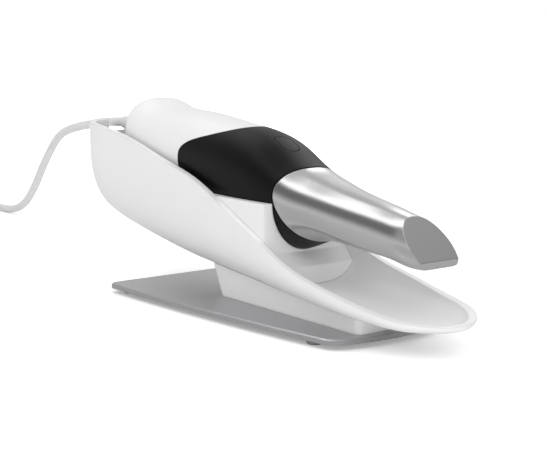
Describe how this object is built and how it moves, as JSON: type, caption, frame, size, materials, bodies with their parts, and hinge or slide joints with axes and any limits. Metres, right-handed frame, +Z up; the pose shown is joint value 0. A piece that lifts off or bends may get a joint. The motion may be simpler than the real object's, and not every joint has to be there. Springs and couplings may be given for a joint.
{
  "type": "intraoral scanner",
  "caption": "Handheld intraoral scanner with a long slanted metal tip, lying in a boat-shaped desk holder on a thin base plate, with its cable.",
  "frame": {"origin": "on the surface it stands on, under the middle of the holder", "axes": "+X towards the scanner's tip, +Z up; the holder and the scanner are mirror images across Y = 0"},
  "size_m": [0.73, 0.1242, 0.1199],
  "materials": {
    "white_plastic": "satin",
    "black_plastic": "soft satin",
    "dark_rubber": "matt",
    "grey_jacket": "matt",
    "screw_steel": "plated",
    "circuit_board": "lacquered",
    "light_metal": "fine satin",
    "clear_glass": "polished",
    "tip_metal": "bead-blasted satin",
    "mirror_glass": "polished",
    "plate_steel": "satin with polished bevel",
    "plug_metal": "bright"
  },
  "bodies": {
    "base": {"rear_top_shell": "white_plastic", "rear_bottom_shell": "white_plastic", "cradle_shell": "white_plastic", "saddle": "white_plastic", "pedestal": "white_plastic", "nose_collar": "black_plastic", "button_switch": "black_plastic", "snout": "black_plastic", "board_connector": "black_plastic", "cable_clamp": "black_plastic", "tip_seal": "dark_rubber", "tip_grip_ring": "dark_rubber", "feet": "dark_rubber", "strain_relief": "grey_jacket", "cable": "grey_jacket", "cable_coil": "grey_jacket", "cable_tail": "grey_jacket", "cable_end": "grey_jacket", "plug_body": "grey_jacket", "bench_screws": "screw_steel", "board_screws": "screw_steel", "housing_screws": "screw_steel", "plate_screws": "screw_steel", "shell_screws": "screw_steel", "saddle_screws": "screw_steel", "button_board": "circuit_board", "camera_board": "circuit_board", "main_board": "circuit_board", "optical_bench": "light_metal", "lens_barrel": "light_metal", "projector": "light_metal", "projector_sink": "light_metal", "processor_sink": "light_metal", "window_heater": "light_metal", "snout_window": "clear_glass", "rear_lens": "clear_glass", "front_lens": "clear_glass", "beam_splitter": "clear_glass", "image_sensor": "clear_glass", "base_plate": "plate_steel", "plug_shell": "plug_metal"},
    "tip": {"tip_sleeve": "tip_metal", "tip_mirror": "mirror_glass"},
    "button": {"scan_button": "black_plastic"}
  },
  "joints": [
    {"name": "tip_slide", "type": "slide", "parent": "base", "child": "tip", "axis": [0.9925, 0, -0.1219], "range_m": [0, 0.07]},
    {"name": "scan_button_press", "type": "slide", "parent": "base", "child": "button", "axis": [-0.1219, 0, -0.9925], "range_m": [0, 0.0007], "stiffness_N_per_m": 600, "springref_m": -0.0008}
  ]
}
